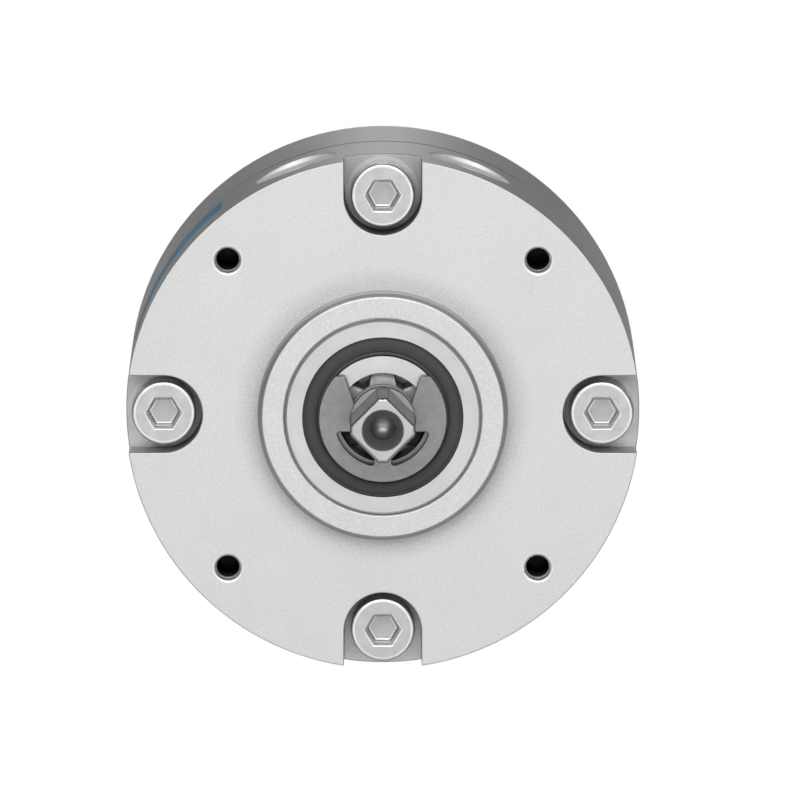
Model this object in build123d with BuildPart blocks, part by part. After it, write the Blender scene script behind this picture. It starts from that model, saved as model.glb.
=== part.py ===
from build123d import *
import os
from math import asin, atan, cos, degrees, radians, sin, tan

os.makedirs("parts", exist_ok=True)

# Pneumatic rotary actuator of the single-vane type, in millimetres.
# The shaft lies along Y. The rear end, with the square and the clip, points to -Y and the
# output spigot to +Y. The origin is the centre of the drive-side mounting face, +Z is up
# between the two ports, and the vane hangs down when the shaft is in the middle of its travel.

# Shells
body_d = 57.5
rear_depth = 17.5
front_depth = 15.5
end_wall = 7.5
collar_wall = 1.925
collar_height = 2.6
collar_chamfer = 0.45

# Clearances
fit_gap = 0.02
running_gap = 0.05
end_gap = 0.05

# Clamp screws, M4, sunk in open notches
screw_from_rim = 4.25
screw_count = 4
screw_d = 4.0
screw_length = 20.0
screw_head_d = 7.0
screw_head_height = 4.0
screw_socket_flats = 3.0
screw_socket_depth = 2.2
screw_play = 0.2
screw_hole_spare = 1.5
notch_width = 8.7
notch_depth = 5.0

# Tapped mounting holes in both end faces, M3
mount_from_rim = 4.25
mount_count = 4
mount_angle = 45.0
mount_hole_d = 2.7
mount_hole_depth = 8.0

# Air ports on the rim, M5, just clear of the stop block's sides
port_clear_angle = 4.5
port_from_face = 9.0
port_seat_d = 9.4
port_seat_depth = 0.55
port_thread_d = 4.2
port_thread_depth = 5.0
port_chamfer = 0.35
port_passage_d = 2.5

# Dowel pins across the seam
dowel_d = 2.0
dowel_length = 7.0
dowel_angle = 22.5
dowel_spare = 0.2

# Joint seal, in a groove of the front shell between the chamber and the screws
joint_land = 0.8
joint_groove_width = 1.7
joint_groove_depth = 1.1

# Bearings, sealed, with their faces flush with the collars
bearing_width = 6.0
bearing_section = 6.0
rear_bearing_bore = 10.0
front_bearing_bore = 12.0
inner_ring_share = 0.3133
outer_ring_share = 0.3333
ball_share = 0.5
ring_chamfer = 0.3
ball_count = 8
ball_width_share = 0.86
ball_flat_share = 0.293
race_play = 0.05
cage_wall = 0.8
cage_spine = 0.6
cage_pocket_play = 0.1
seal_disc_thickness = 0.4
seal_disc_inset = 0.12

# Shaft, rear end
rear_reach = 14.0
square_flats = 5.9
square_corner_d = 7.3
square_chamfer = 0.25
square_root_reach = 5.3
nose_d = 7.25
clip_groove_reach = 4.1
clip_groove_d = 6.4
clip_thickness = 0.9
clip_play = 0.15
rear_land_d = 7.5
centre_hole_d = 3.0
centre_hole_mouth_d = 4.6
centre_hole_depth = 4.3
centre_cone_angle = 60.0
drill_point_angle = 118.0

# Shaft, lobed bearing seat
lobe_count = 6
lobe_tip_width = 2.4
lobe_base_width = 2.9
lobe_root_d = 7.4
lobe_lead_in = 1.1

# Shaft, journals, hub and output spigot
journal_step = 1.0
hub_step = 1.0
spigot_d = 10.0
spigot_reach = 22.6
spigot_start = 3.2
spigot_chamfer = 0.6
output_hole_d = 2.5
output_hole_depth = 8.0
key_width = 3.0
key_height = 3.0
key_length = 14.0
key_end_margin = 2.6
keyway_depth = 1.8

# Shaft seals in glands beside the bearings
gland_depth = 1.35
gland_width = 2.4
shaft_seal_width = 1.5

# Retaining clip
clip_rim = 1.73
clip_throat_half = 3.0
clip_throat_height = 1.1
clip_tip_half = 4.2
clip_tip_height = 4.7
clip_tip_rise = 0.25
clip_tip_round = 0.42
clip_window_d = 10.8
clip_window_drop = 1.45
clip_prong_width = 1.95
clip_window_round = 0.3

# Vane and its seal
swing = 135.0
vane_side_gap = 0.35
vane_tip_gap = 0.4
tenon_width = 3.0
tenon_depth = 2.0
lip_gap = 0.05
vane_seal_width = 2.0
vane_seal_leg = 2.0

# Stop block between the ports
stop_hub_gap = 0.1
stop_seal_width = 1.6
stop_seal_leg = 1.5
stop_pin_d = 2.0
stop_pin_sink = 2.5
stop_pin_web = 0.8
stop_side_web = 1.0
stop_pin_from_wall = 2.4
buffer_size_share = 0.55
buffer_place_share = 0.6
buffer_sink = 1.7
buffer_proud = 1.3
buffer_gap = 0.12

# Diameters that follow from the walls, the screws and the bearings
screw_pcd = body_d - 2 * screw_from_rim
mount_pcd = body_d - 2 * mount_from_rim
chamber_wall = screw_from_rim + screw_d / 2 + screw_play + 2 * joint_land + joint_groove_width
chamber_d = body_d - 2 * chamber_wall
joint_seal_d = chamber_d + 2 * joint_land + joint_groove_width
rear_bearing_d = rear_bearing_bore + 2 * bearing_section
front_bearing_d = front_bearing_bore + 2 * bearing_section
collar_d = front_bearing_d + 2 * collar_wall
rear_journal_d = rear_bearing_bore + 2 * journal_step
front_journal_d = front_bearing_bore + 2 * journal_step
hub_d = front_journal_d + 2 * hub_step

clip_d = clip_window_d + 2 * clip_rim

# Stations along the shaft
front_face = 0.0
seam = front_face - front_depth
rear_face = seam - rear_depth
chamber_rear = rear_face + end_wall
chamber_front = front_face - end_wall
chamber_width = chamber_front - chamber_rear
rear_bearing_y = rear_face - collar_height + bearing_width / 2
front_bearing_y = front_face + collar_height - bearing_width / 2
rear_shoulder = rear_bearing_y + bearing_width / 2
front_shoulder = front_bearing_y - bearing_width / 2
notch_floor = rear_face + notch_depth
screw_r = screw_pcd / 2
dowel_spread = 180 - 2 * dowel_angle
hub_rear = chamber_rear + end_gap
hub_front = chamber_front - end_gap

# The stop block is as wide as its seal, its pins and the walls round them need
stop_pin_from_axis = chamber_d / 2 - stop_pin_from_wall
stop_pin_spread = stop_seal_width + 2 * stop_pin_web + stop_pin_d
stop_half_width = (stop_pin_spread + stop_pin_d) / 2 + stop_side_web
stop_half_angle = degrees(atan(stop_half_width / stop_pin_from_axis))
port_angle = stop_half_angle + port_clear_angle

# The buffers share the room between the hub and the pins
buffer_room = stop_pin_from_axis - stop_pin_d / 2 - hub_d / 2
buffer_d = buffer_size_share * buffer_room
buffer_from_axis = hub_d / 2 + buffer_place_share * buffer_room

# The vane fills what the swing, the stop block and the buffers leave free
buffer_angle = degrees(asin((buffer_proud + buffer_gap) / (buffer_from_axis - buffer_d / 2)))
vane_half_angle = 180 - swing - stop_half_angle - buffer_angle


def across(y):
    # plane across the shaft at station y, its normal to the rear, its y axis up
    return Plane.XZ.offset(-y)


def make_shell(face_y, out, depth, floor_y, bearing_d, journal_d):
    # what both shells share; out is the sign along Y from the seam to the end face
    outer_end = 0 if out < 0 else -1
    shoulder = face_y + out * (collar_height - bearing_width)
    with BuildPart() as shell:
        with BuildSketch(across(face_y)):
            Circle(body_d / 2)
        extrude(amount=out * depth)
        # pilot collar
        with BuildSketch(across(face_y)):
            Circle(collar_d / 2)
        extrude(amount=-out * collar_height)
        chamfer(shell.edges().group_by(Axis.Y)[outer_end], collar_chamfer)
        # bearing seat, then the gland of the shaft seal, which the bearing closes
        with BuildSketch(across(face_y + out * collar_height)):
            Circle(bearing_d / 2 + fit_gap)
        extrude(amount=out * bearing_width, mode=Mode.SUBTRACT)
        with BuildSketch(across(shoulder)):
            Circle(journal_d / 2 + gland_depth)
        extrude(amount=out * gland_width, mode=Mode.SUBTRACT)
        # journal bore through to the chamber
        with BuildSketch(across(shoulder)):
            Circle(journal_d / 2 + running_gap)
        extrude(amount=out * end_wall, mode=Mode.SUBTRACT)
        # this shell's share of the vane chamber
        with BuildSketch(across(seam)):
            Circle(chamber_d / 2)
        extrude(amount=seam - floor_y, mode=Mode.SUBTRACT)
        # holes for the stop block's pins
        with BuildSketch(across(floor_y)):
            with Locations((0, stop_pin_from_axis)):
                with GridLocations(stop_pin_spread, 0, 2, 1):
                    Circle(stop_pin_d / 2 + fit_gap)
        extrude(amount=-out * (stop_pin_sink + fit_gap), mode=Mode.SUBTRACT)
        # dowel holes in the seam face
        with BuildSketch(across(seam)):
            with PolarLocations(screw_r, 2, dowel_angle, dowel_spread, endpoint=True):
                Circle(dowel_d / 2 + fit_gap)
        extrude(amount=-out * (dowel_length / 2 + dowel_spare), mode=Mode.SUBTRACT)
        # tapped mounting holes in the end face
        with BuildSketch(across(face_y)):
            with PolarLocations(mount_pcd / 2, mount_count, start_angle=mount_angle):
                Circle(mount_hole_d / 2)
        extrude(amount=out * mount_hole_depth, mode=Mode.SUBTRACT)
    return shell


# Rear shell, with the notches, the clearance holes of the screws and the ports
rear_shell = make_shell(rear_face, -1, rear_depth, chamber_rear, rear_bearing_d, rear_journal_d)
port_planes = [
    Plane(
        origin=(
            side * body_d / 2 * sin(radians(port_angle)),
            rear_face + port_from_face,
            body_d / 2 * cos(radians(port_angle)),
        ),
        x_dir=(0, 1, 0),
        z_dir=(side * sin(radians(port_angle)), 0, cos(radians(port_angle))),
    )
    for side in (-1, 1)
]
with BuildPart() as rear_housing:
    add(rear_shell.part)
    with BuildSketch(across(rear_face)):
        with PolarLocations(screw_r, screw_count):
            Circle(notch_width / 2)
            Rectangle(body_d / 2, notch_width, align=(Align.MIN, Align.CENTER))
    extrude(amount=-notch_depth, mode=Mode.SUBTRACT)
    with BuildSketch(across(notch_floor)):
        with PolarLocations(screw_r, screw_count):
            Circle(screw_d / 2 + screw_play)
    extrude(amount=-rear_depth, mode=Mode.SUBTRACT)
    with Locations(*port_planes):
        CounterBoreHole(
            radius=port_thread_d / 2,
            counter_bore_radius=port_seat_d / 2,
            counter_bore_depth=port_seat_depth,
            depth=port_seat_depth + port_thread_depth,
        )
        Hole(port_passage_d / 2, depth=(body_d - chamber_d) / 2 + port_chamfer)
    for port in port_planes:
        mouths = rear_housing.edges().filter_by(GeomType.CIRCLE)
        mouths = mouths.filter_by(lambda edge: abs(edge.radius - port_thread_d / 2) < 1e-4)
        chamfer(mouths.sort_by_distance(port.origin)[0], port_chamfer)

# Front shell, with the tapped holes of the screws and the groove of the joint seal
front_shell = make_shell(front_face, 1, front_depth, chamber_front, front_bearing_d, front_journal_d)
screw_tip = notch_floor + screw_length
with BuildPart() as front_housing:
    add(front_shell.part)
    with BuildSketch(across(seam)):
        with PolarLocations(screw_r, screw_count):
            Circle(screw_d / 2 + fit_gap)
    extrude(amount=-(screw_tip + screw_hole_spare - seam), mode=Mode.SUBTRACT)
    with BuildSketch(across(seam)):
        Circle((joint_seal_d + joint_groove_width) / 2)
        Circle((joint_seal_d - joint_groove_width) / 2, mode=Mode.SUBTRACT)
    extrude(amount=-joint_groove_depth, mode=Mode.SUBTRACT)

# Joint seal, a square-cut ring that fills its groove
with BuildPart() as joint_seal:
    with BuildSketch(Plane.XY):
        with Locations((joint_seal_d / 2, seam + joint_groove_depth / 2)):
            Rectangle(joint_groove_width - 2 * fit_gap, joint_groove_depth - 2 * fit_gap)
    revolve(axis=Axis.Y)

# Clamp screws, four socket heads standing in the notches
with BuildPart() as clamp_screws:
    with BuildSketch(across(notch_floor)):
        with PolarLocations(screw_r, screw_count):
            Circle(screw_head_d / 2)
    extrude(amount=screw_head_height)
    with BuildSketch(across(notch_floor - screw_head_height)):
        with PolarLocations(screw_r, screw_count, rotate=False):
            RegularPolygon(screw_socket_flats / 2, 6, major_radius=False)
    extrude(amount=-screw_socket_depth, mode=Mode.SUBTRACT)
    with BuildSketch(across(notch_floor)):
        with PolarLocations(screw_r, screw_count):
            Circle(screw_d / 2)
    extrude(amount=-screw_length)

# Dowel pins across the seam
with BuildPart() as dowel_pins:
    with BuildSketch(across(seam)):
        with PolarLocations(screw_r, 2, dowel_angle, dowel_spread, endpoint=True):
            Circle(dowel_d / 2)
    extrude(amount=dowel_length / 2, both=True)


def make_bearing(bore_d, outer_d, centre_y, out):
    # a ball bearing sealed on its outer face: outer ring, inner ring, balls, cage and seal disc;
    # out is the sign along Y of that face
    inner_wall = inner_ring_share * bearing_section
    outer_wall = outer_ring_share * bearing_section
    inner_land = bore_d / 2 + inner_wall
    outer_land = outer_d / 2 - outer_wall
    pitch_r = (inner_land + outer_land) / 2
    ball_d = ball_share * bearing_section
    cage_width = ball_d + 2 * cage_spine
    outer_end = 0 if out < 0 else -1
    # section of both races, a groove with two sloping sides in each ring
    with BuildSketch(Plane.XY) as races:
        with Locations((pitch_r, centre_y)):
            Rectangle(ball_d + 2 * race_play, ball_d + 2 * race_play, rotation=45)
    with BuildPart() as outer_ring:
        with BuildSketch(Plane.XY):
            with Locations((outer_d / 2, centre_y)):
                Rectangle(outer_wall, bearing_width, align=(Align.MAX, Align.CENTER))
            add(races.sketch, mode=Mode.SUBTRACT)
        revolve(axis=Axis.Y)
        ends = outer_ring.edges().filter_by(GeomType.CIRCLE).group_by(Axis.Y)[outer_end]
        chamfer(ends.sort_by(SortBy.RADIUS)[-1], ring_chamfer)
    with BuildPart() as inner_ring:
        with BuildSketch(Plane.XY):
            with Locations((bore_d / 2, centre_y)):
                Rectangle(inner_wall, bearing_width, align=(Align.MIN, Align.CENTER))
            add(races.sketch, mode=Mode.SUBTRACT)
        revolve(axis=Axis.Y)
    # balls with small flats, which keep their mesh light and their corners inside the diameter
    ball_width = ball_width_share * ball_d
    with BuildPart() as ball:
        Box(ball_width, ball_width, ball_width)
        chamfer(ball.edges(), ball_flat_share * ball_width)
    with BuildPart() as balls:
        with Locations(across(centre_y)):
            with PolarLocations(pitch_r, ball_count):
                add(ball.part)
    # crown cage, its pockets open to the chamber side
    with BuildPart() as cage:
        with BuildSketch(across(centre_y - out * cage_width / 2)):
            Circle(pitch_r + cage_wall / 2)
            Circle(pitch_r - cage_wall / 2, mode=Mode.SUBTRACT)
        extrude(amount=-out * cage_width)
        with BuildSketch(across(centre_y - out * cage_width / 2)):
            with PolarLocations(pitch_r, ball_count):
                Rectangle(3 * cage_wall, ball_d + 2 * cage_pocket_play)
        extrude(amount=-out * (cage_width / 2 + ball_d / 2 + cage_pocket_play), mode=Mode.SUBTRACT)
    with BuildPart() as seal_disc:
        with BuildSketch(across(centre_y + out * (bearing_width / 2 - seal_disc_inset))):
            Circle(outer_land - fit_gap)
            Circle(inner_land + running_gap, mode=Mode.SUBTRACT)
        extrude(amount=out * seal_disc_thickness)
    return outer_ring, inner_ring, balls, cage, seal_disc


rear_bearing = make_bearing(rear_bearing_bore, rear_bearing_d, rear_bearing_y, -1)
front_bearing = make_bearing(front_bearing_bore, front_bearing_d, front_bearing_y, 1)


def make_shaft_seal(journal_d, shoulder, inward):
    # square-cut ring at the bottom of its gland; inward is the sign along Y to the chamber
    seal_y = shoulder + inward * (gland_width - fit_gap - shaft_seal_width / 2)
    with BuildPart() as seal:
        with BuildSketch(Plane.XY):
            with Locations((journal_d / 2 + gland_depth / 2, seal_y)):
                Rectangle(gland_depth - 2 * fit_gap, shaft_seal_width)
        revolve(axis=Axis.Y)
    return seal


rear_shaft_seal = make_shaft_seal(rear_journal_d, rear_shoulder, 1)
front_shaft_seal = make_shaft_seal(front_journal_d, front_shoulder, -1)

# Lobed seat that carries the rear bearing's inner ring, with a conical lead-in
rear_bearing_face = rear_face - collar_height
seat_r = rear_bearing_bore / 2 - fit_gap
with BuildPart() as lobed_seat:
    with BuildSketch(across(rear_bearing_face)):
        Circle(lobe_root_d / 2)
        with PolarLocations(0, lobe_count, start_angle=90):
            Polygon(
                (0, -lobe_base_width / 2),
                (lobe_root_d / 2, -lobe_base_width / 2),
                (seat_r, -lobe_tip_width / 2),
                (rear_bearing_bore, -lobe_tip_width / 2),
                (rear_bearing_bore, lobe_tip_width / 2),
                (seat_r, lobe_tip_width / 2),
                (lobe_root_d / 2, lobe_base_width / 2),
                (0, lobe_base_width / 2),
                align=None,
            )
    extrude(amount=-bearing_width)
    with BuildSketch(Plane.XY):
        with BuildLine():
            Polyline(
                (0, rear_bearing_face),
                (rear_land_d / 2, rear_bearing_face),
                (seat_r, rear_bearing_face + lobe_lead_in),
                (seat_r, rear_shoulder),
                (0, rear_shoulder),
                close=True,
            )
        make_face()
    revolve(axis=Axis.Y, mode=Mode.INTERSECT)

# Rotor shaft, from the square at the rear to the output spigot
shaft_rear = rear_face - rear_reach
square_root = rear_face - square_root_reach
groove_rear = rear_face - clip_groove_reach
groove_front = groove_rear + clip_thickness + clip_play
centre_cone = (centre_hole_mouth_d - centre_hole_d) / 2 / tan(radians(centre_cone_angle / 2))
drill_point = centre_hole_d / 2 / tan(radians(drill_point_angle / 2))
key_y = spigot_reach - key_end_margin - key_length / 2
keyway_floor = spigot_d / 2 - keyway_depth
with BuildPart() as rotor_shaft:
    with BuildSketch(across(shaft_rear)):
        Circle(square_corner_d / 2)
        Rectangle(square_flats, square_flats, rotation=45, mode=Mode.INTERSECT)
    extrude(amount=shaft_rear - square_root)
    chamfer(rotor_shaft.edges().group_by(Axis.Y)[0], square_chamfer)
    with BuildSketch(Plane.XY):
        for diameter, start, end in (
            (nose_d, square_root, groove_rear),
            (clip_groove_d, groove_rear, groove_front),
            (rear_land_d, groove_front, rear_bearing_face),
            (rear_journal_d, rear_shoulder, hub_rear),
            (hub_d, hub_rear, hub_front),
            (front_journal_d, hub_front, front_shoulder),
            (front_bearing_bore - 2 * fit_gap, front_shoulder, spigot_start),
            (spigot_d, spigot_start, spigot_reach),
        ):
            with Locations((0, start)):
                Rectangle(diameter / 2, end - start, align=(Align.MIN, Align.MIN))
    revolve(axis=Axis.Y)
    add(lobed_seat.part)
    chamfer(rotor_shaft.edges().group_by(Axis.Y)[-1], spigot_chamfer)
    # centre hole in the square end
    with BuildSketch(Plane.XY):
        with BuildLine():
            Polyline(
                (0, shaft_rear),
                (centre_hole_mouth_d / 2, shaft_rear),
                (centre_hole_d / 2, shaft_rear + centre_cone),
                (centre_hole_d / 2, shaft_rear + centre_hole_depth),
                (0, shaft_rear + centre_hole_depth + drill_point),
                close=True,
            )
        make_face()
    revolve(axis=Axis.Y, mode=Mode.SUBTRACT)
    # tapped hole in the output end
    with Locations(Plane((0, spigot_reach, 0), x_dir=(1, 0, 0), z_dir=(0, 1, 0))):
        Hole(output_hole_d / 2, depth=output_hole_depth)
    # keyway of the output spigot
    with BuildSketch(Plane.XY.offset(keyway_floor)):
        with Locations((0, key_y)):
            SlotOverall(key_length, key_width, rotation=90)
    extrude(amount=key_height, mode=Mode.SUBTRACT)
    # slot for the vane's tenon
    with BuildSketch(across(hub_rear)):
        with Locations((0, -hub_d / 2)):
            Rectangle(tenon_width, 2 * tenon_depth)
    extrude(amount=hub_rear - hub_front, mode=Mode.SUBTRACT)

# Output key, standing in the keyway
with BuildPart() as output_key:
    with BuildSketch(Plane.XY.offset(keyway_floor)):
        with Locations((0, key_y)):
            SlotOverall(key_length - 2 * fit_gap, key_width - 2 * fit_gap, rotation=90)
    extrude(amount=key_height)

# Retaining clip, E-shaped, its opening up and its three prongs in the groove
with BuildSketch() as clip_windows:
    Circle(clip_window_d / 2)
    with Locations((0, -clip_window_drop)):
        Rectangle(clip_d, clip_d, align=(Align.CENTER, Align.MAX), mode=Mode.INTERSECT)
    Circle(clip_groove_d / 2 + fit_gap, mode=Mode.SUBTRACT)
    Rectangle(clip_prong_width, clip_d, mode=Mode.SUBTRACT)
    fillet(clip_windows.vertices().group_by(SortBy.DISTANCE)[-1], clip_window_round)
with BuildPart() as retaining_clip:
    with BuildSketch(across(groove_front)) as clip_outline:
        Circle(clip_d / 2)
        Circle(clip_groove_d / 2 + fit_gap, mode=Mode.SUBTRACT)
        with BuildLine():
            Polyline(
                (0, 0),
                (clip_throat_half, clip_throat_height),
                (clip_tip_half, clip_tip_height),
                (clip_d / 2, clip_tip_height + clip_tip_rise),
                (clip_d / 2, clip_d),
                (-clip_d / 2, clip_d),
                (-clip_d / 2, clip_tip_height + clip_tip_rise),
                (-clip_tip_half, clip_tip_height),
                (-clip_throat_half, clip_throat_height),
                close=True,
            )
        make_face(mode=Mode.SUBTRACT)
        tips = clip_outline.vertices().group_by(Axis.Y)
        fillet(tips[-1] + tips[-2], clip_tip_round)
        add(clip_windows.sketch, mode=Mode.SUBTRACT)
    extrude(amount=clip_thickness)


def wedge(half_angle, up):
    # corners of a triangle from the shaft axis out past the chamber wall; up is 1 or -1
    reach = chamber_d
    side = reach * tan(radians(half_angle))
    return (0, 0), (-up * side, up * reach), (up * side, up * reach)


def u_profile(closed_z, open_z, side_gap, leg):
    # U across the chamber's width, closed at one radius and open towards the other
    inward = 1 if open_z > closed_z else -1
    width = chamber_width - 2 * side_gap
    with BuildSketch(Plane.YZ) as profile:
        with Locations(((chamber_rear + chamber_front) / 2, (closed_z + open_z) / 2)):
            Rectangle(width, abs(open_z - closed_z))
        with Locations(((chamber_rear + chamber_front) / 2, (closed_z + open_z) / 2 + inward * leg)):
            Rectangle(width - 2 * leg, abs(open_z - closed_z), mode=Mode.SUBTRACT)
    return profile.sketch


# Vane, a wedge with a tenon in the hub's slot and a slot for its own seal
vane_seal_profile = u_profile(-(chamber_d / 2 - lip_gap), -(hub_d / 2 + fit_gap), lip_gap, vane_seal_leg)
with BuildPart() as vane:
    with BuildSketch(across(chamber_rear + vane_side_gap)):
        Circle(chamber_d / 2 - vane_tip_gap)
        Polygon(*wedge(vane_half_angle, -1), align=None, mode=Mode.INTERSECT)
        Circle(hub_d / 2 + fit_gap, mode=Mode.SUBTRACT)
        with Locations((0, -hub_d / 2 + tenon_depth - fit_gap)):
            Rectangle(
                tenon_width - 2 * fit_gap, 2 * tenon_depth, align=(Align.CENTER, Align.MAX)
            )
    extrude(amount=-(chamber_width - 2 * vane_side_gap))
    extrude(vane_seal_profile, amount=vane_seal_width / 2 + fit_gap, both=True, mode=Mode.SUBTRACT)

with BuildPart() as vane_seal:
    extrude(vane_seal_profile, amount=vane_seal_width / 2, both=True)

# Stop block between the ports, with pockets for its buffers and holes for its pins
stop_seal_profile = u_profile(hub_d / 2 + lip_gap, chamber_d / 2 - vane_tip_gap, lip_gap, stop_seal_leg)
buffer_planes = [
    Plane(
        origin=(
            side * buffer_from_axis * sin(radians(stop_half_angle)),
            (chamber_rear + chamber_front) / 2,
            buffer_from_axis * cos(radians(stop_half_angle)),
        ),
        x_dir=(0, 1, 0),
        z_dir=(side * cos(radians(stop_half_angle)), 0, -sin(radians(stop_half_angle))),
    )
    for side in (-1, 1)
]
with BuildPart() as stop_block:
    with BuildSketch(across(chamber_rear + fit_gap)):
        Circle(chamber_d / 2 - fit_gap)
        Polygon(*wedge(stop_half_angle, 1), align=None, mode=Mode.INTERSECT)
        Circle(hub_d / 2 + stop_hub_gap, mode=Mode.SUBTRACT)
        with Locations((0, stop_pin_from_axis)):
            with GridLocations(stop_pin_spread, 0, 2, 1):
                Circle(stop_pin_d / 2 + fit_gap, mode=Mode.SUBTRACT)
    extrude(amount=-(chamber_width - 2 * fit_gap))
    extrude(stop_seal_profile, amount=stop_seal_width / 2 + fit_gap, both=True, mode=Mode.SUBTRACT)
    with Locations(*buffer_planes):
        Hole(buffer_d / 2 + fit_gap, depth=buffer_sink)

with BuildPart() as stop_seal:
    extrude(stop_seal_profile, amount=stop_seal_width / 2, both=True)

with BuildPart() as stop_buffers:
    for buffer_plane in buffer_planes:
        with BuildSketch(buffer_plane.offset(-buffer_sink)):
            Circle(buffer_d / 2)
        extrude(amount=buffer_sink + buffer_proud)

with BuildPart() as stop_pins:
    with BuildSketch(across(chamber_rear - stop_pin_sink)):
        with Locations((0, stop_pin_from_axis)):
            with GridLocations(stop_pin_spread, 0, 2, 1):
                Circle(stop_pin_d / 2)
    extrude(amount=-(chamber_width + 2 * stop_pin_sink))

pieces = {
    "rear_housing": rear_housing,
    "front_housing": front_housing,
    "joint_seal": joint_seal,
    "clamp_screws": clamp_screws,
    "dowel_pins": dowel_pins,
    "rear_shaft_seal": rear_shaft_seal,
    "front_shaft_seal": front_shaft_seal,
    "rotor_shaft": rotor_shaft,
    "output_key": output_key,
    "retaining_clip": retaining_clip,
    "vane": vane,
    "vane_seal": vane_seal,
    "stop_block": stop_block,
    "stop_seal": stop_seal,
    "stop_buffers": stop_buffers,
    "stop_pins": stop_pins,
}
for place, bearing in (("rear", rear_bearing), ("front", front_bearing)):
    for part_name, piece in zip(("outer_ring", "inner_ring", "balls", "cage", "seal"), bearing):
        pieces[f"{place}_bearing_{part_name}"] = piece

for name, piece in pieces.items():
    piece.part.label = name
    export_step(piece.part, f"parts/{name}.step")
    print(name, len(piece.part.solids()), round(piece.part.volume, 1))
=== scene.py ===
import math
import bmesh
import bpy
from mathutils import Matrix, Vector


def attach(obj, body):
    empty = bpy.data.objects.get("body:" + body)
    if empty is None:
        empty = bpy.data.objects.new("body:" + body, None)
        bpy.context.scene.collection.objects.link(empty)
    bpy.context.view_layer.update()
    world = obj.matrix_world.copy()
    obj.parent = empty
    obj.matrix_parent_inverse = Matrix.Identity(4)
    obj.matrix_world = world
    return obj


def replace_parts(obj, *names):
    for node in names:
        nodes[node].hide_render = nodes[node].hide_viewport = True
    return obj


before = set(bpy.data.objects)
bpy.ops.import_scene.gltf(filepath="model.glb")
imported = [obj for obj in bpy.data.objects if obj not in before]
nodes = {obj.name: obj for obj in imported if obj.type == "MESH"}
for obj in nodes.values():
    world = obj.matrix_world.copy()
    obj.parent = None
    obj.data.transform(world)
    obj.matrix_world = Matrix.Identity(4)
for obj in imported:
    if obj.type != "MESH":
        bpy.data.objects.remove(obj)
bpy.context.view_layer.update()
scene = bpy.context.scene
mm = 0.001

# Stations along the shaft and distances from its axis, in mm
rearFace, seamStation, frontFace = -33.0, -15.5, 0.0
portStation = -24.0
spigotEnd = 22.6
bodyRadius = 28.75
boltCircle = 24.5
boltOffset = 17.324  # sideways and upwards, of a bolt at 45 degrees
portCos, portSin = 0.94, 0.342  # the ports stand 20 degrees from the top
portSeatDepth = 0.55
print("frame loaded,", len(nodes), "pieces")


# Small tools

def toLinear(hexColour):
    # sRGB hex value to linear RGBA
    levels = [int(hexColour[i:i + 2], 16) / 255 for i in (1, 3, 5)]
    return [v / 12.92 if v < 0.04045 else ((v + 0.055) / 1.055) ** 2.4 for v in levels] + [1.0]


def addNode(tree, kind, links=None, **settings):
    # one node; a link's value is a node, one of its outlets, or a plain value for the socket
    node = tree.nodes.new(kind)
    for name, value in settings.items():
        setattr(node, name, value)
    for socket, value in (links or {}).items():
        if isinstance(value, bpy.types.Node):
            value = value.outputs[0]
        if isinstance(value, bpy.types.NodeSocket):
            tree.links.new(value, node.inputs[socket])
        else:
            node.inputs[socket].default_value = value
    return node


# Measures of a point on a piece, in metres, for the zones of its finish

def fromSeam(tree, at):
    past = addNode(tree, "ShaderNodeMath", {0: at["y"], 1: seamStation * mm}, operation="SUBTRACT")
    return addNode(tree, "ShaderNodeMath", {0: past}, operation="ABSOLUTE")


def alongRim(tree, at):
    # arc length on the rim, left of the top
    left = addNode(tree, "ShaderNodeMath", {0: at["x"], 1: -1.0}, operation="MULTIPLY")
    angle = addNode(tree, "ShaderNodeMath", {0: left, 1: at["z"]}, operation="ARCTAN2")
    return addNode(tree, "ShaderNodeMath", {0: angle, 1: bodyRadius * mm}, operation="MULTIPLY")


def fromPort(tree, at):
    # the port axes stand 20 degrees left and right of the top
    sideways = addNode(tree, "ShaderNodeMath", {0: at["x"]}, operation="ABSOLUTE")
    folded = addNode(tree, "ShaderNodeCombineXYZ", {"X": sideways, "Z": at["z"]})
    axis = (portCos, 0, -portSin)
    across = addNode(tree, "ShaderNodeVectorMath", {0: folded, 1: axis}, operation="DOT_PRODUCT")
    spot = addNode(tree, "ShaderNodeCombineXYZ", {"X": across.outputs["Value"], "Y": at["y"]})
    mouth = (0, portStation * mm, 0)
    away = addNode(tree, "ShaderNodeVectorMath", {0: spot, 1: mouth}, operation="DISTANCE")
    return away.outputs["Value"]


def fromHole(tree, at):
    # four tapped mounting holes, one in each quarter
    folded = addNode(tree, "ShaderNodeVectorMath", {0: at["flat"]}, operation="ABSOLUTE")
    axis = (boltOffset * mm, 0, boltOffset * mm)
    away = addNode(tree, "ShaderNodeVectorMath", {0: folded, 1: axis}, operation="DISTANCE")
    return away.outputs["Value"]


def fromScrew(tree, at):
    return addNode(tree, "ShaderNodeVectorMath", {0: at["screw"]}, operation="LENGTH").outputs["Value"]


def acrossSocket(tree, at):
    # from the middle of a screw's hexagon, square to its nearest side
    folded = addNode(tree, "ShaderNodeVectorMath", {0: at["screw"]}, operation="ABSOLUTE")
    slanted = addNode(
        tree, "ShaderNodeVectorMath", {0: folded, 1: (0.866, 0, 0.5)}, operation="DOT_PRODUCT")
    upright = addNode(tree, "ShaderNodeVectorMath", {0: folded, 1: (0, 0, 1)}, operation="DOT_PRODUCT")
    return addNode(tree, "ShaderNodeMath", {
        0: slanted.outputs["Value"], 1: upright.outputs["Value"]}, operation="MAXIMUM")


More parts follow.
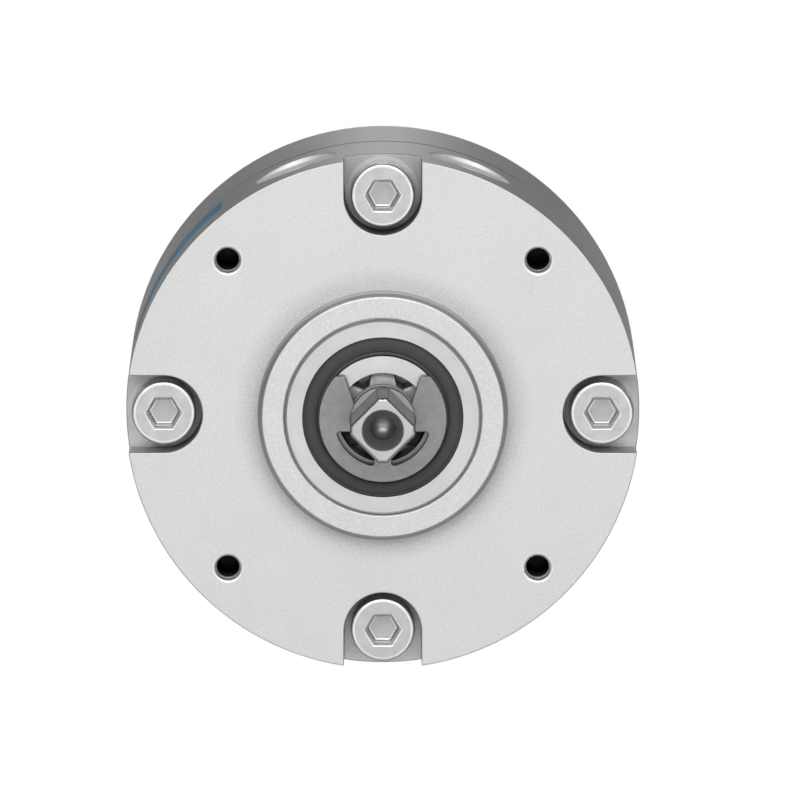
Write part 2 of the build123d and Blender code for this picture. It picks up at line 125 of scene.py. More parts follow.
def fromLobe(tree, at):
    # sideways from the middle line of the nearest lobe of the bearing seat
    sideways = addNode(tree, "ShaderNodeMath", {0: at["x"]}, operation="ABSOLUTE")
    folded = addNode(tree, "ShaderNodeCombineXYZ", {"X": sideways, "Z": at["z"]})
    slanted = addNode(
        tree, "ShaderNodeVectorMath", {0: folded, 1: (0.5, 0, -0.866)}, operation="DOT_PRODUCT")
    slanted = addNode(tree, "ShaderNodeMath", {0: slanted.outputs["Value"]}, operation="ABSOLUTE")
    return addNode(tree, "ShaderNodeMath", {0: sideways, 1: slanted}, operation="MINIMUM")


measureMakers = {"fromSeam": fromSeam, "alongRim": alongRim, "fromPort": fromPort, "fromHole": fromHole,
                 "fromScrew": fromScrew, "acrossSocket": acrossSocket, "fromLobe": fromLobe}


# Finishes

def makeFinish(name, s):
    # Patterns are clouds with a size in mm and a detail, or rings round the shaft where turned.
    # A zone mixes its colour in where all of its fades overlap, and each fade rises from 0 to 1
    # between two values of a measure in mm. Its share is a number or runs with a pattern.
    material = bpy.data.materials.new(name)
    material.use_nodes = True
    tree = material.node_tree
    shader = tree.nodes["Principled BSDF"]
    for socket, value in s["shader"].items():
        shader.inputs[socket].default_value = value
    place = addNode(tree, "ShaderNodeTexCoord").outputs["Object"]
    parts = addNode(tree, "ShaderNodeSeparateXYZ", {0: place}).outputs
    flat = addNode(tree, "ShaderNodeCombineXYZ", {"X": parts["X"], "Z": parts["Z"]})
    radius = addNode(tree, "ShaderNodeVectorMath", {0: flat}, operation="LENGTH").outputs["Value"]
    turned = addNode(tree, "ShaderNodeCombineXYZ", {"X": radius, "Y": parts["Y"]})
    # the screws stand a quarter turn apart, as points of a grid 24.5 mm wide do
    half = boltCircle / 2 * mm
    wrap = {0: flat, 1: (half,) * 3, 2: (-half,) * 3}
    screw = addNode(tree, "ShaderNodeVectorMath", wrap, operation="WRAP")
    at = {
        "x": parts["X"], "y": parts["Y"], "z": parts["Z"], "flat": flat, "radius": radius, "screw": screw}
    for label, (kind, sizeMm, detail) in s["patterns"].items():
        cloud = addNode(tree, "ShaderNodeTexNoise", {
            "Vector": turned if kind == "turned" else place,
            "Scale": 1 / (sizeMm * mm), "Detail": detail})
        at[label] = addNode(tree, "ShaderNodeMapRange", {
            "Value": cloud, "From Min": 0.3, "From Max": 0.7})
    label, first, second = s["colours"]
    shader.inputs["Base Color"].default_value = toLinear(first)
    colour = addNode(tree, "ShaderNodeMixRGB", {
        "Fac": at[label], "Color1": toLinear(first), "Color2": toLinear(second)})
    label, low, high = s["roughness"]
    rough = addNode(tree, "ShaderNodeMapRange", {"Value": at[label], "To Min": low, "To Max": high})
    for zone in s.get("zones", []):
        share = zone.get("share", 1.0)
        if isinstance(share, tuple):
            share = addNode(tree, "ShaderNodeMapRange", {
                "Value": at[share[0]], "To Min": share[1], "To Max": share[2]})
        for measure, start, end in zone["fades"]:
            if measure not in at:
                at[measure] = measureMakers[measure](tree, at)
            share = addNode(tree, "ShaderNodeMapRange", {
                "Value": at[measure], "From Min": start * mm, "From Max": end * mm, "To Max": share,
            }, interpolation_type="SMOOTHSTEP")
        colour = addNode(tree, "ShaderNodeMixRGB", {
            "Fac": share, "Color1": colour, "Color2": toLinear(zone["colour"])})
        if "roughen" in zone:
            rough = addNode(tree, "ShaderNodeMath", {
                0: share, 1: zone["roughen"], 2: rough}, operation="MULTIPLY_ADD")
        if "isPaint" in zone:
            bare = addNode(tree, "ShaderNodeMath", {0: 1.0, 1: share}, operation="SUBTRACT")
            tree.links.new(bare.outputs[0], shader.inputs["Metallic"])
    tree.links.new(colour.outputs[0], shader.inputs["Base Color"])
    tree.links.new(rough.outputs[0], shader.inputs["Roughness"])
    label, depthMm, strength = s["bump"]
    bump = addNode(tree, "ShaderNodeBump", {
        "Height": at[label], "Strength": strength, "Distance": depthMm * mm})
    tree.links.new(bump.outputs[0], shader.inputs["Normal"])
    return material


# Cast aluminium, bead-blasted and clear anodised: a pale matt grey with a fine speckle from the
# beads' dents, a little duller where hands and coolant have left a film.
shellZones = [
    # the seam between the shells: painted shade in its gap, not on the left, and a painted highlight on the
    # right side
    {"colour": "#5c5c5c", "fades": [
        ("fromSeam", 0.33, 0.2), ("radius", 28.2, 28.3), ("x", -20.0, -11.0)]},
    {"colour": "#f4f4f4", "fades": [("fromSeam", 0.33, 0.2), ("radius", 28.2, 28.3), ("x", 13.0, 19.0)]},
    # tapped holes: a freshly cut mouth, drawn lighter partly as a painted highlight, and painted shade
    # further in
    {"colour": "#f0f0f0", "fades": [("fromHole", 1.72, 1.68)]},
    {"colour": "#3a3a3b", "fades": [("fromHole", 1.45, 1.4), ("y", -32.2, -30.4), ("y", -0.8, -2.6)]},
]
inNotch = [("fromScrew", 5.8, 5.7), ("y", -32.9, -32.8), ("y", -27.6, -27.7)]
blastedAluminium = {
    "shader": {"Metallic": 1.0},
    # real dents are about 0.1 mm, these are coarser to show
    "patterns": {"grit": ("cloud", 0.17, 1.0), "film": ("cloud", 9.0, 3.0)},
    "colours": ("grit", "#e2e2e2", "#d3d3d3"),
    "roughness": ("film", 0.475, 0.525),
    "bump": ("grit", 0.005, 0.6),
    "zones": shellZones,
}
rearAluminium = dict(blastedAluminium, zones=[
    # painted shade in the corner round the collar
    {"colour": "#a8a8a8", "share": ("grit", 0.3, 0.6), "fades": [
        ("radius", 17.2, 14.0), ("radius", 13.85, 13.95)]},
    # the collar's turned side and chamfer, darkened as painted shade
    {"colour": "#c2c2c2", "fades": [
        ("radius", 13.42, 13.5), ("radius", 13.99, 13.94), ("y", -33.0, -33.02)]},
    # the port pockets, cut after blasting: lighter, as a painted highlight, and rougher
    {"colour": "#f4f4f4", "roughen": 0.2, "fades": [("fromPort", 4.9, 4.8), ("radius", 28.75, 28.65)]},
    # the notches: painted shade, most outside the spot face and less the lower they are
    {"colour": "#a2a2a2", "share": 0.25, "fades": inNotch},
    {"colour": "#a2a2a2", "share": 0.33, "fades": inNotch + [("z", -14.0, 20.0)]},
    {"colour": "#a2a2a2", "share": 0.7, "fades": inNotch + [
        ("z", -14.0, 20.0), ("fromScrew", 3.98, 4.08)]},
    # painted shade in the corner of their closed ends
    {"colour": "#989898", "fades": inNotch + [("radius", 25.5, 22.0), ("y", -32.2, -29.5)]},
    # plain printed band on the left of the rim
    {"colour": "#4793ba", "share": ("grit", 0.8, 1.0), "isPaint": True, "fades": [
        ("alongRim", 19.5, 19.6), ("alongRim", 38.2, 38.1), ("y", -26.2, -26.1), ("y", -18.8, -18.9),
        ("radius", 28.2, 28.3)]},
] + shellZones)

# Steel or aluminium cut on a lathe or ground: fine rings round the axis, a faint oil film. The
# marks are the tool's feed, drawn a little coarser than it is, so that they show.
milledAluminium = {
    "shader": {"Metallic": 1.0},
    "patterns": {"marks": ("turned", 0.25, 1.5), "film": ("cloud", 2.5, 3.0)},
    "colours": ("marks", "#c9cacc", "#b9babd"),
    "roughness": ("film", 0.3, 0.42),
    "bump": ("marks", 0.0016, 0.5),
}
shaftGround = {
    "shader": {"Metallic": 1.0},
    "patterns": {"marks": ("turned", 0.13, 1.5), "film": ("cloud", 2.5, 3.0)},
    "colours": ("marks", "#c2c2c2", "#b4b4b5"),
    "roughness": ("film", 0.32, 0.42),
    "bump": ("marks", 0.0008, 0.5),
    "zones": [
        # the square and the seat, darker than the ground end of the square: painted shade
        {"colour": "#a2a2a2", "fades": [("y", -46.95, -46.85), ("y", -29.0, -30.0)]},
        # painted shade and a rougher finish on the cone and the wall of the centre hole, not on its freshly
        # drilled bottom
        {"colour": "#9c9c9c", "roughen": 0.2, "fades": [("radius", 2.4, 2.32), ("y", -42.75, -42.85)]},
        # the square's turned corners, darkened as painted shade
        {"colour": "#6c6c6c", "roughen": 0.1, "fades": [("radius", 3.5, 3.6), ("y", -38.3, -38.4)]},
        # painted highlights on the ends of the upper lobes, brightest on their corners
        {"colour": "#e6e6e6", "roughen": 0.1, "fades": [
            ("y", -35.7, -35.6), ("y", -34.3, -34.4), ("radius", 3.5, 3.6), ("z", -0.1, 0.1)]},
        {"colour": "#ffffff", "roughen": 0.3, "fades": [
            ("fromLobe", 1.15, 1.18), ("fromLobe", 1.52, 1.49), ("y", -35.7, -35.6), ("y", -34.3, -34.4),
            ("radius", 3.5, 3.6), ("z", -0.1, 0.1)]},
    ],
}
bearingGround = {
    "shader": {"Metallic": 1.0},
    "patterns": {"marks": ("turned", 0.12, 1.5), "film": ("cloud", 2.5, 3.0)},
    "colours": ("marks", "#c2c2c1", "#bebebd"),
    "roughness": ("film", 0.29, 0.34),
    "bump": ("marks", 0.0001, 0.5),
}
innerRingGround = dict(bearingGround, colours=("marks", "#c6c6c5", "#c2c2c1"), zones=[
    # painted shade on the part of the ring behind the clip
    {"colour": "#929292", "roughen": 0.1, "fades": [("radius", 6.7, 6.6), ("z", -0.2, -0.3)]},
])

# Zinc-plated screws, cold-headed: bright, smooth, with a faint cloud in the plating.
zincPlated = {
    "shader": {"Metallic": 1.0},
    "patterns": {"cloud": ("cloud", 1.1, 3.0), "pits": ("cloud", 0.16, 1.0)},
    "colours": ("cloud", "#c3c3c3", "#bbbbbc"),
    "roughness": ("cloud", 0.32, 0.4),
    "bump": ("pits", 0.00024, 0.3),
    "zones": [
        # the socket's floor, darkened as painted shade
        {"colour": "#b2b2b2", "fades": [("y", -31.2, -30.6)]},
        # painted highlights on the socket's edges and on the head's rounded rim
        {"colour": "#ffffff", "fades": [
            ("acrossSocket", 1.52, 1.54), ("acrossSocket", 1.89, 1.87), ("y", -31.2, -31.3)]},
        {"colour": "#ffffff", "fades": [("acrossSocket", 1.26, 1.28), ("acrossSocket", 1.47, 1.45)]},
        {"colour": "#e4e4e4", "fades": [("fromScrew", 3.1, 3.18)]},
    ],
}

# Spring steel, stamped and phosphated: dark satin grey, slightly mottled, oiled.
phosphated = {
    "shader": {"Metallic": 1.0},
    "patterns": {"mottle": ("cloud", 0.8, 3.0), "tooth": ("cloud", 0.14, 1.0)},
    "colours": ("mottle", "#979797", "#8e8e8f"),
    "roughness": ("mottle", 0.38, 0.44),
    "bump": ("tooth", 0.0004, 0.4),
}

# Nitrile rubber, compression moulded: near black, soft sheen, a matt tooth from the mould.
nitrile = {
    "shader": {"Metallic": 0.0, "IOR": 1.52},
    "patterns": {"bloom": ("cloud", 2.0, 3.0), "tooth": ("cloud", 0.18, 2.0)},
    "colours": ("bloom", "#39393a", "#424243"),
    "roughness": ("bloom", 0.5, 0.66),
    "bump": ("tooth", 0.0024, 0.5),
}

# Polyamide cage, injection moulded: warm ivory, waxy, with faint flow marks.
polyamide = {
    "shader": {"Metallic": 0.0, "IOR": 1.53, "Subsurface Weight": 0.08, "Subsurface Scale": 0.4 * mm},
    "patterns": {"flow": ("turned", 1.2, 3.0)},
    "colours": ("flow", "#dcd4ba", "#cfc5a8"),
    "roughness": ("flow", 0.38, 0.5),
    "bump": ("flow", 0.0016, 0.4),
}

rearShellAluminium = makeFinish("blasted_aluminium_rear", rearAluminium)
frontShellAluminium = makeFinish("blasted_aluminium_front", blastedAluminium)
millAluminium = makeFinish("milled_aluminium", milledAluminium)
shaftSteel = makeFinish("ground_shaft_steel", shaftGround)
bearingSteel = makeFinish("ground_bearing_steel", bearingGround)
# the rear inner ring's steel, with painted shade behind the clip
innerRingSteel = makeFinish("bearing_steel_painted_shade", innerRingGround)
screwSteel = makeFinish("zinc_plated_steel", zincPlated)
clipSteel = makeFinish("phosphated_spring_steel", phosphated)
sealRubber = makeFinish("nitrile_rubber", nitrile)
cagePolyamide = makeFinish("moulded_polyamide", polyamide)
print("finishes made")


# Making pieces

def newPiece(name, mesh, material, body):
    # a finished piece that rides on a body, with the finish it is given
    piece = bpy.data.objects.new(name, mesh)
    scene.collection.objects.link(piece)
    mesh.materials.clear()
    mesh.materials.append(material)
    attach(piece, body)
    return piece


def makeHelper(name, mesh):
    helper = bpy.data.objects.new(name, mesh)
    scene.collection.objects.link(helper)
    return helper


def settle(helper, name):
    # what the helper's modifiers make, as a plain mesh
    evaluated = helper.evaluated_get(bpy.context.evaluated_depsgraph_get())
    mesh = bpy.data.meshes.new_from_object(evaluated)
    mesh.name = name
    helper.modifiers.clear()
    bpy.data.objects.remove(helper)
    return mesh


def softEdgedCopy(nodeName, edgeWidth):
    # a welded copy of a CAD piece with its sharp edges broken, as tumbling or blasting does
    form = bmesh.new()
    form.from_mesh(nodes[nodeName].data)
    bmesh.ops.remove_doubles(form, verts=form.verts, dist=0.0005 * mm)
    bmesh.ops.dissolve_limit(form, angle_limit=math.radians(0.5), verts=form.verts, edges=form.edges)
    for face in form.faces:
        face.smooth = True
    widest = 0.4
    weight = form.edges.layers.float.new("bevel_weight_edge")
    for edge in form.edges:
        if edge.is_manifold and edge.calc_face_angle() > math.radians(28.0):
            edge[weight] = edgeWidth((edge.verts[0].co + edge.verts[1].co) / (2 * mm)) / widest
    mesh = bpy.data.meshes.new(nodeName + "_welded")
    form.to_mesh(mesh)
    form.free()
    helper = makeHelper(nodeName + "_helper", mesh)
    edge = helper.modifiers.new("edge", "BEVEL")
    edge.width = widest * mm
    edge.segments = 2
    edge.limit_method = "WEIGHT"
    edge.use_clamp_overlap = False
    normals = helper.modifiers.new("normals", "WEIGHTED_NORMAL")
    normals.keep_sharp = True
    return settle(helper, nodeName + "_softened")


def lathe(name, profile, steps):
    # closed profile of (radius, station) in mm, turned round the shaft axis
    form = bmesh.new()
    rings = []
    for step in range(steps):
        turn = 2 * math.pi * step / steps
        sideways, upwards = math.sin(turn), math.cos(turn)
        rings.append([form.verts.new((r * mm * sideways, y * mm, r * mm * upwards)) for r, y in profile])
    count = len(profile)
    for step in range(steps):
        ring, after = rings[step], rings[(step + 1) % steps]
        for i in range(count):
            j = (i + 1) % count
            form.faces.new((ring[i], ring[j], after[j], after[i])).smooth = True
    bmesh.ops.recalc_face_normals(form, faces=form.faces)
    mesh = bpy.data.meshes.new(name)
    form.to_mesh(mesh)
    form.free()
    return mesh


def startTree(name, inputs):
    # a Geometry Nodes tree with named inputs
    tree = bpy.data.node_groups.new(name, "GeometryNodeTree")
    tree.interface.new_socket("Geometry", in_out="INPUT", socket_type="NodeSocketGeometry")
    for label, kind in inputs.items():
        tree.interface.new_socket(label, in_out="INPUT", socket_type="NodeSocket" + kind)
    tree.interface.new_socket("Geometry", in_out="OUTPUT", socket_type="NodeSocketGeometry")
    return tree, addNode(tree, "NodeGroupInput").outputs


def endTree(tree, instances, material):
    realized = addNode(tree, "GeometryNodeRealizeInstances", {0: instances})
    smooth = addNode(tree, "GeometryNodeSetShadeSmooth", {0: realized})
    finished = addNode(tree, "GeometryNodeSetMaterial", {0: smooth, "Material": material})
    addNode(tree, "NodeGroupOutput", {0: finished})


def grow(name, seedMesh, tree, values):
    # runs a tree on a seed mesh and returns the mesh it makes
    helper = makeHelper(name + "_helper", seedMesh)
    modifier = helper.modifiers.new("grow", "NODES")
    modifier.node_group = tree
    for item in tree.interface.items_tree:
        if item.in_out == "INPUT" and item.name in values:
            modifier[item.identifier] = values[item.name]
    return settle(helper, name)


# Shells, shaft, key and clip, with broken edges

brokenEdges = {
    "shell": 0.12,
    "tappedMouth": 0.33,
    "portMouth": 0.3,
    "bearingMouth": 0.22,
    "shaft": 0.09,
    "lobe": 0.18,
    "key": 0.12,
    "clip": 0.08,
}


def shellEdge(p):
    # holes are countersunk before they are tapped, and the bearing's seat has a lead-in
    across = math.hypot(p.x, p.z)
    if math.hypot(abs(p.x) - boltOffset, abs(p.z) - boltOffset) < 1.5:
        return brokenEdges["tappedMouth"]
    if across > 26.0 and math.hypot(portCos * abs(p.x) - portSin * p.z, p.y - portStation) < 2.4:
        return brokenEdges["portMouth"]
    return brokenEdges["bearingMouth" if p.y < -35.0 and across < 11.3 else "shell"]


def shaftEdge(p):
    # the lobes of the bearing seat behind the clip are rounder
    return brokenEdges["lobe" if -38.0 < p.y < -34.0 and math.hypot(p.x, p.z) > 3.9 else "shaft"]


def keyEdge(p):
    return brokenEdges["key"]


def clipEdge(p):
    return brokenEdges["clip"]


for nodeName, edgeWidth, material, body, slot in (
    ("rear_housing", shellEdge, rearShellAluminium, "housing", "shell_aluminium"),
    ("front_housing", shellEdge, frontShellAluminium, "housing", "shell_aluminium"),
    ("rotor_shaft", shaftEdge, shaftSteel, "rotor", "shaft_steel"),
    ("output_key", keyEdge, shaftSteel, "rotor", "shaft_steel"),
    ("retaining_clip", clipEdge, clipSteel, "rotor", "clip_steel"),
):
    piece = newPiece(nodeName + "_finished", softEdgedCopy(nodeName, edgeWidth), material, body)
    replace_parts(piece, nodeName)
print("shells, shaft, key and clip finished")


# Clamp screws: one socket screw with a knurled head, set round the bolt circle

screwSizes = {
    "count": 4,
    "circleRadius": boltCircle,
    "underHead": -28.0,  # station of the notch floor
    "headRadius": 3.5,
    "knurl": 0.09,
    "headHeight": 4.0,
    "headRound": 0.26,
    "socketFlats": 3.0,
    "socketChamfer": 0.28,
    "socketDepth": 2.2,
    "shankRadius": 2.0,
    "length": 20.0,
    "steps": 96,
}


def hexRadius(turn, flats):
    # distance from the middle to a hexagon with a flat at the top
    return flats / 2 / math.cos(turn % (math.pi / 3) - math.pi / 6)


def makeScrew():
    # rings of (size, station, form) from the shank's tip over the head to the socket's floor
    s = screwSizes
    top = -s["headHeight"]
    head, soft, edge = s["headRadius"], s["headRound"], s["socketChamfer"]
    chamferFlats = s["socketFlats"] + 2 * edge
    shank, tip = s["shankRadius"], s["length"]
    rings = [(0.8 * shank, tip, "round"), (shank, tip - 0.5, "round")]
    rings += [(shank, 0.0, "round"), (head - 0.12, 0.0, "round"), (head, -0.12, "round")]
    rings += [(head, -0.3, "round"), (head, -0.4, "knurled"), (head, top + soft + 0.35, "knurled")]
    for step in range(7):
        turn = math.pi / 2 * step / 6
        inset, drop = soft * (1 - math.cos(turn)), soft * (1 - math.sin(turn))
        rings.append((head + 0.05 - inset, top + drop, "round"))
    rings.append((head + 0.05 - soft - 0.1, top, "round"))
    # socket: chamfered mouth, walls, flat forged floor
    flats, bottom = s["socketFlats"], top + s["socketDepth"]
    for size, station in (
        (chamferFlats + 0.3, top), (chamferFlats + 0.06, top), (chamferFlats, top + 0.015),
        (chamferFlats - 0.06, top + 0.06), (flats + 0.06, top + edge - 0.03), (flats, top + edge + 0.02),
        (flats, top + edge + 0.1), (flats, bottom - 0.16), (flats - 0.03, bottom - 0.13),
        (flats - 0.23, bottom - 0.03), (flats - 0.3, bottom), (flats - 0.4, bottom),
    ):
        rings.append((size, station, "hexagon"))
    rings.append((0.9, bottom + 0.01, "round"))
    form = bmesh.new()
    loops = []
    for size, station, outline in rings:
        loop = []
        for step in range(s["steps"]):
            turn = 2 * math.pi * step / s["steps"]
            r = hexRadius(turn, size) if outline == "hexagon" else size
            if outline == "knurled":
                r += s["knurl"] * (step % 2)
            loop.append(form.verts.new((r * math.cos(turn) * mm, station * mm, r * math.sin(turn) * mm)))
        loops.append(loop)
    for loop, after in zip(loops, loops[1:]):
        for i in range(s["steps"]):
            j = (i + 1) % s["steps"]
            form.faces.new((loop[i], loop[j], after[j], after[i]))
    form.faces.new(loops[0])
    middle = form.verts.new((0, (bottom + 0.03) * mm, 0))
    for i in range(s["steps"]):
        form.faces.new((loops[-1][i], loops[-1][(i + 1) % s["steps"]], middle))
    bmesh.ops.recalc_face_normals(form, faces=form.faces)
    mesh = bpy.data.meshes.new("screw")
    form.to_mesh(mesh)
    form.free()
    return mesh


screwTree, given = startTree("screwCircle", {
    "Count": "Int", "Circle radius": "Float", "Station": "Float"})
circle = addNode(screwTree, "GeometryNodeMeshCircle", {
    "Vertices": given["Count"], "Radius": given["Circle radius"]})
station = addNode(screwTree, "ShaderNodeCombineXYZ", {"Y": given["Station"]})
upright = addNode(screwTree, "GeometryNodeTransform", {
    0: circle, "Translation": station, "Rotation": (math.pi / 2, 0, 0)})
screws = addNode(screwTree, "GeometryNodeInstanceOnPoints", {
    "Points": upright, "Instance": given["Geometry"]})
endTree(screwTree, screws, screwSteel)
screwMesh = grow("clamp_screws_finished", makeScrew(), screwTree, {
    "Count": screwSizes["count"], "Circle radius": screwSizes["circleRadius"] * mm,
    "Station": screwSizes["underHead"] * mm})
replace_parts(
    newPiece("clamp_screws_finished", screwMesh, screwSteel, "housing"), "clamp_screws")
print("clamp screws set")


# Bearings: round balls, and seal discs with a moulded bead at each edge

bearingSizes = {
    "rear": {"station": -32.6, "out": -1, "pitchRadius": 7.94, "innerLand": 6.88, "outerLand": 9.0},
    "front": {"station": -0.4, "out": 1, "pitchRadius": 8.94, "innerLand": 7.88, "outerLand": 10.0},
    "ballRadius": 1.5,
    "ballCount": 8,
    "faceOffset": 3.0,
    "sealInset": 0.12,
    "sealThickness": 0.4,
    "sealFit": 0.02,
    "sealGap": 0.05,
    "sealSteps": 96,
    # the discs' beads: distance from the outer or inner edge, and depth behind the face
    "outerBead": [
        (0, 0.16), (0.05, 0.06), (0.16, 0.05), (0.22, 0.14), (0.3, 0.14), (0.38, 0.02), (0.46, 0)],
    "innerBead": [
        (0.55, 0), (0.48, 0.03), (0.42, 0.12), (0.34, 0.12), (0.27, 0.05), (0.08, 0.06), (0, 0.16)],
}

ballTree, given = startTree("ballRow", {
    "Count": "Int", "Circle radius": "Float", "Station": "Float", "Ball radius": "Float"})
circle = addNode(ballTree, "GeometryNodeMeshCircle", {
    "Vertices": given["Count"], "Radius": given["Circle radius"]})
station = addNode(ballTree, "ShaderNodeCombineXYZ", {"Y": given["Station"]})
upright = addNode(ballTree, "GeometryNodeTransform", {
    0: circle, "Translation": station, "Rotation": (math.pi / 2, 0, 0)})
ball = addNode(ballTree, "GeometryNodeMeshUVSphere", {
    "Segments": 24, "Rings": 14, "Radius": given["Ball radius"]})
balls = addNode(ballTree, "GeometryNodeInstanceOnPoints", {"Points": upright, "Instance": ball})
endTree(ballTree, balls, bearingSteel)

for side in ("rear", "front"):
    s = bearingSizes[side]
    ballMesh = grow(side + "_balls_finished", bpy.data.meshes.new("seed"), ballTree, {
        "Count": bearingSizes["ballCount"], "Circle radius": s["pitchRadius"] * mm,
        "Station": s["station"] * mm, "Ball radius": bearingSizes["ballRadius"] * mm})
    ballRow = newPiece(
        side + "_balls_finished", ballMesh, bearingSteel, side + "_ball_set")
    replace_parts(ballRow, side + "_bearing_balls")
    outer = s["outerLand"] - bearingSizes["sealFit"]
    inner = s["innerLand"] + bearingSizes["sealGap"]
    face = s["station"] + s["out"] * (bearingSizes["faceOffset"] - bearingSizes["sealInset"])
    back = -s["out"]  # from the face into the bearing
    rear = face + back * bearingSizes["sealThickness"]
    profile = [(outer - inset, face + back * depth) for inset, depth in bearingSizes["outerBead"]]
    profile += [(inner + inset, face + back * depth) for inset, depth in bearingSizes["innerBead"]]
    profile += [(inner, rear), (outer, rear)]
    discMesh = lathe(side + "_seal_finished", profile, bearingSizes["sealSteps"])
    disc = newPiece(side + "_seal_finished", discMesh, sealRubber, "housing")
    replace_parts(disc, side + "_bearing_seal")
print("bearings filled")


# Threads: a ridge wound down each tapped hole, at the holes' mouths and along their axes

threadSizes = {
    "mounting": {"radius": 1.35, "pitch": 0.5, "turns": 13, "ridge": 0.1},
    "port": {"radius": 2.1, "pitch": 0.8, "turns": 5, "ridge": 0.2},
    "output": {"radius": 1.25, "pitch": 0.5, "turns": 13, "ridge": 0.1},
    "stepsPerTurn": 20,
    "startDepth": 1.0,
    "portStartDepth": 0.5,
    "sink": 0.03,  # of the ridge's middle, into the wall
}

threadTree, given = startTree("threadedHoles", {
    "Radius": "Float", "Pitch": "Float", "Turns": "Float", "Ridge": "Float", "Steps per turn": "Int"})
rise = addNode(threadTree, "ShaderNodeMath", {0: given["Pitch"], 1: given["Turns"]}, operation="MULTIPLY")
helix = addNode(threadTree, "GeometryNodeCurveSpiral", {
    "Resolution": given["Steps per turn"], "Rotations": given["Turns"], "Start Radius": given["Radius"],
    "End Radius": given["Radius"], "Height": rise})
section = addNode(threadTree, "GeometryNodeCurvePrimitiveCircle", {
    "Resolution": 4, "Radius": given["Ridge"]})
ridge = addNode(threadTree, "GeometryNodeCurveToMesh", {0: helix, 1: section, "Fill Caps": True})
axis = addNode(
    threadTree, "GeometryNodeInputNamedAttribute", {"Name": "inward"}, data_type="FLOAT_VECTOR")
turn = addNode(threadTree, "FunctionNodeAlignRotationToVector", {"Vector": axis}, axis="Z")
threads = addNode(threadTree, "GeometryNodeInstanceOnPoints", {
    "Points": given["Geometry"], "Instance": ridge, "Rotation": turn})
endTree(threadTree, threads, frontShellAluminium)


def holeSeed(name, mouths):
    # one point at each hole's mouth, with the direction into the hole
    mesh = bpy.data.meshes.new(name)
    mesh.from_pydata([mouth for mouth, inward in mouths], [], [])
    attribute = mesh.attributes.new("inward", "FLOAT_VECTOR", "POINT")
    for item, (mouth, inward) in zip(attribute.data, mouths):
        item.vector = inward
    return mesh


mountingMouths = []
for angle in (45, 135, 225, 315):
    x, z = boltCircle * math.cos(math.radians(angle)), boltCircle * math.sin(math.radians(angle))
    for face, inward in ((rearFace, 1), (frontFace, -1)):
        mouth = Vector((x, face + inward * threadSizes["startDepth"], z)) * mm
        mountingMouths.append((mouth, (0, inward, 0)))
portMouths = []
portStart = bodyRadius - portSeatDepth - threadSizes["portStartDepth"]
for side in (-1, 1):
    outward = Vector((side * math.sin(math.radians(20)), 0, math.cos(math.radians(20))))
    portMouths.append(((outward * portStart + Vector((0, portStation, 0))) * mm, -outward))
outputMouths = [(Vector((0, spigotEnd - threadSizes["startDepth"], 0)) * mm, (0, -1, 0))]
for kind, mouths, material, body, slot in (
    ("mounting", mountingMouths, rearShellAluminium, "housing", "shell_aluminium"),
    ("port", portMouths, frontShellAluminium, "housing", "shell_aluminium"),
    ("output", outputMouths, shaftSteel, "rotor", "shaft_steel"),
):
    s = threadSizes[kind]
    threadMesh = grow(kind + "_threads", holeSeed(kind + "_mouths", mouths), threadTree, {
        "Radius": (s["radius"] + threadSizes["sink"]) * mm, "Pitch": s["pitch"] * mm,
        "Turns": float(s["turns"]), "Ridge": s["ridge"] * mm, "Steps per turn": threadSizes["stepsPerTurn"]})
    newPiece(kind + "_threads", threadMesh, material, body)
print("threads cut")


# Finishes of the CAD pieces, hidden ones too

cadFinishes = {
    "joint_seal": sealRubber, "rear_shaft_seal": sealRubber, "front_shaft_seal": sealRubber,
    "vane_seal": sealRubber, "stop_seal": sealRubber, "stop_buffers": sealRubber,
    "dowel_pins": bearingSteel, "stop_pins": bearingSteel,
    "vane": millAluminium, "stop_block": millAluminium,
    "rear_bearing_outer_ring": bearingSteel, "rear_bearing_inner_ring": innerRingSteel,
    "front_bearing_outer_ring": bearingSteel, "front_bearing_inner_ring": bearingSteel,
    "rear_bearing_cage": cagePolyamide, "front_bearing_cage": cagePolyamide,
    "rear_housing": rearShellAluminium, "front_housing": frontShellAluminium, "rotor_shaft": shaftSteel,
    "output_key": shaftSteel, "retaining_clip": clipSteel, "clamp_screws": screwSteel,
    "rear_bearing_balls": bearingSteel, "front_bearing_balls": bearingSteel,
    "rear_bearing_seal": sealRubber, "front_bearing_seal": sealRubber,
}
for nodeName, material in cadFinishes.items():
    nodes[nodeName].data.materials.clear()
    nodes[nodeName].data.materials.append(material)
print("finishes given to", len(cadFinishes), "pieces")


# Studio: pale floor, soft panels, white backdrop

studio = {
    "floorLevel": -0.15,
    "floorColour": "#e6e6e6",
    "floorGlow": 0.45,
    "dimLevel": 0.115,
    "overhead": {"place": (0, 1.1, 0.8), "target": (0, 0, 0), "size": (0.2, 0.7), "watts": 0.9},
    "front": {"place": (0, -2.3, 1.35), "target": (0, -0.03, 0), "size": (2.6, 1.6), "watts": 49.0},
    "low": {"place": (0, -0.8, -0.085), "target": (0, 0, -0.02), "size": (1.3, 0.11), "watts": 0.84},
    "back": {"place": (0, 0.66, -0.075), "target": (0, 0, -0.02), "size": (0.2, 0.13), "watts": 0.34},
    "left": {"place": (-2.0, 1.25, 0.4), "target": (0, 0, 0), "size": (1.2, 1.2), "watts": 0.55},
    "right": {"place": (2.0, 1.25, 0.4), "target": (0, 0, 0), "size": (1.2, 1.2), "watts": 0.55},
}

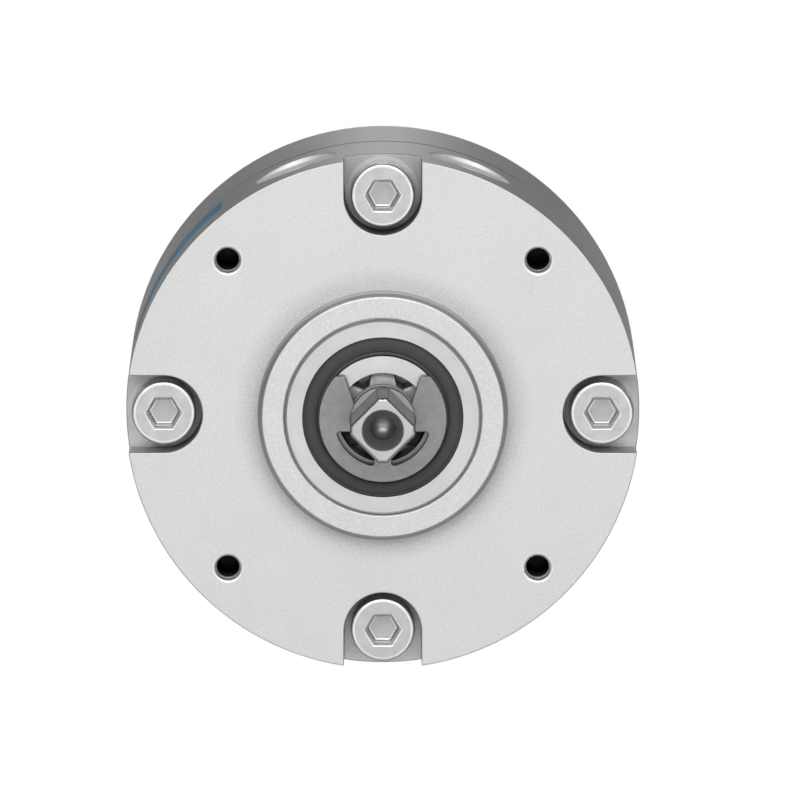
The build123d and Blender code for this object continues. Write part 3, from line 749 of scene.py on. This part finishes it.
floorMesh = bpy.data.meshes.new("floor")
level = studio["floorLevel"]
floorCorners = [(-3, -3.5, level), (3, -3.5, level), (3, 0.6, level), (-3, 0.6, level)]
floorMesh.from_pydata(floorCorners, [], [(0, 1, 2, 3)])
floor = bpy.data.objects.new("floor", floorMesh)
scene.collection.objects.link(floor)
floorMaterial = bpy.data.materials.new("painted_studio_floor")
floorMaterial.use_nodes = True
tree = floorMaterial.node_tree
tree.nodes.clear()
ray = addNode(tree, "ShaderNodeLightPath").outputs
glow = addNode(tree, "ShaderNodeMath", {
    0: ray["Is Camera Ray"], 1: studio["floorGlow"]}, operation="MULTIPLY")
paint = addNode(tree, "ShaderNodeBsdfDiffuse", {"Color": toLinear(studio["floorColour"])})
white = addNode(tree, "ShaderNodeEmission", {"Strength": glow})
both = addNode(tree, "ShaderNodeAddShader", {0: paint, 1: white})
addNode(tree, "ShaderNodeOutputMaterial", {"Surface": both})
floorMesh.materials.append(floorMaterial)

# The world is dim grey for soft light. The camera sees it white, and so do glossy and clear
# surfaces overhead, while towards the horizon they see a studio's grey walls.
world = bpy.data.worlds.new("studio")
scene.world = world
world.use_nodes = True
tree = world.node_tree
ray = addNode(tree, "ShaderNodeLightPath").outputs
heading = addNode(tree, "ShaderNodeTexCoord").outputs["Generated"]
height = addNode(tree, "ShaderNodeSeparateXYZ", {0: heading}).outputs["Z"]
above = addNode(tree, "ShaderNodeMapRange", {
    "Value": height, "From Min": 0.1, "From Max": 0.9, "To Max": 0.1})
shiny = addNode(tree, "ShaderNodeMath", {
    0: ray["Is Glossy Ray"], 1: ray["Is Transmission Ray"]}, operation="ADD")
share = addNode(tree, "ShaderNodeMath", {
    0: shiny, 1: above, 2: ray["Is Camera Ray"]}, operation="MULTIPLY_ADD")
dim = [studio["dimLevel"]] * 3 + [1.0]
sky = addNode(tree, "ShaderNodeMixRGB", {"Fac": share, "Color1": dim, "Color2": (1, 1, 1, 1)})
tree.links.new(sky.outputs[0], tree.nodes["Background"].inputs["Color"])

for name in ("overhead", "front", "low", "back", "left", "right"):
    s = studio[name]
    light = bpy.data.lights.new(name, "AREA")
    light.shape = "RECTANGLE"
    light.size, light.size_y = s["size"]
    light.energy = s["watts"]
    panel = bpy.data.objects.new(name, light)
    scene.collection.objects.link(panel)
    panel.location = s["place"]
    panel.visible_camera = False
    panel.rotation_euler = (Vector(s["target"]) - Vector(s["place"])).to_track_quat("-Z", "Y").to_euler()
print("studio lit")


# Camera, a little above the shaft axis, as in the photograph

view = {"place": (0, -1.7, 0.219), "target": (0, -0.033, 0), "lens": 677.0, "shift": (0.0215, 0.0179)}
cameraData = bpy.data.cameras.new("camera")
cameraData.lens = view["lens"]
cameraData.sensor_width = 36.0
cameraData.shift_x, cameraData.shift_y = view["shift"]
camera = bpy.data.objects.new("camera", cameraData)
scene.collection.objects.link(camera)
camera.location = view["place"]
aim = Vector(view["target"]) - Vector(view["place"])
camera.rotation_euler = aim.to_track_quat("-Z", "Y").to_euler()
scene.camera = camera
scene.view_settings.view_transform = "Standard"
